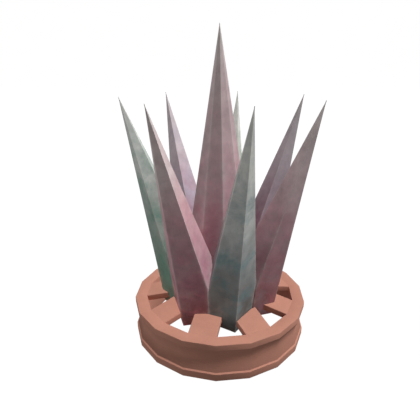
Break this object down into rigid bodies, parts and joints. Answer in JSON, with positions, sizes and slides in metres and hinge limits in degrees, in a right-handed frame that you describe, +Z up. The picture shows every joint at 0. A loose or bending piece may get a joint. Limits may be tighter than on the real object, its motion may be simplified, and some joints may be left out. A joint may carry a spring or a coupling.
{
  "type": "potted agave",
  "caption": "Agave rosette of upright pointed leaves, gripped by tabs inside an open-bottomed terracotta ring that stands on a table.",
  "frame": {"origin": "on the ground, under the middle of the whole plant's box", "axes": "+Z up along the centre leaf, -Y towards the front, +X to the right seen from the front"},
  "size_m": [0.2035, 0.2039, 0.3382],
  "materials": {
    "terracotta": "dry fired clay",
    "leaf_centre": "waxy leaf skin, matt",
    "leaf_front": "waxy leaf skin, matt",
    "leaf_right": "waxy leaf skin, matt",
    "leaf_back_right": "waxy leaf skin, matt",
    "leaf_back": "waxy leaf skin, matt",
    "leaf_back_left": "waxy leaf skin, matt",
    "leaf_left": "waxy leaf skin, matt",
    "leaf_front_left": "waxy leaf skin, matt"
  },
  "bodies": {
    "root": {"pot_ring": "terracotta", "leaf_centre": "leaf_centre", "leaf_front": "leaf_front", "leaf_right": "leaf_right", "leaf_back_right": "leaf_back_right", "leaf_back": "leaf_back", "leaf_back_left": "leaf_back_left", "leaf_left": "leaf_left", "leaf_front_left": "leaf_front_left"}
  },
  "joints": []
}
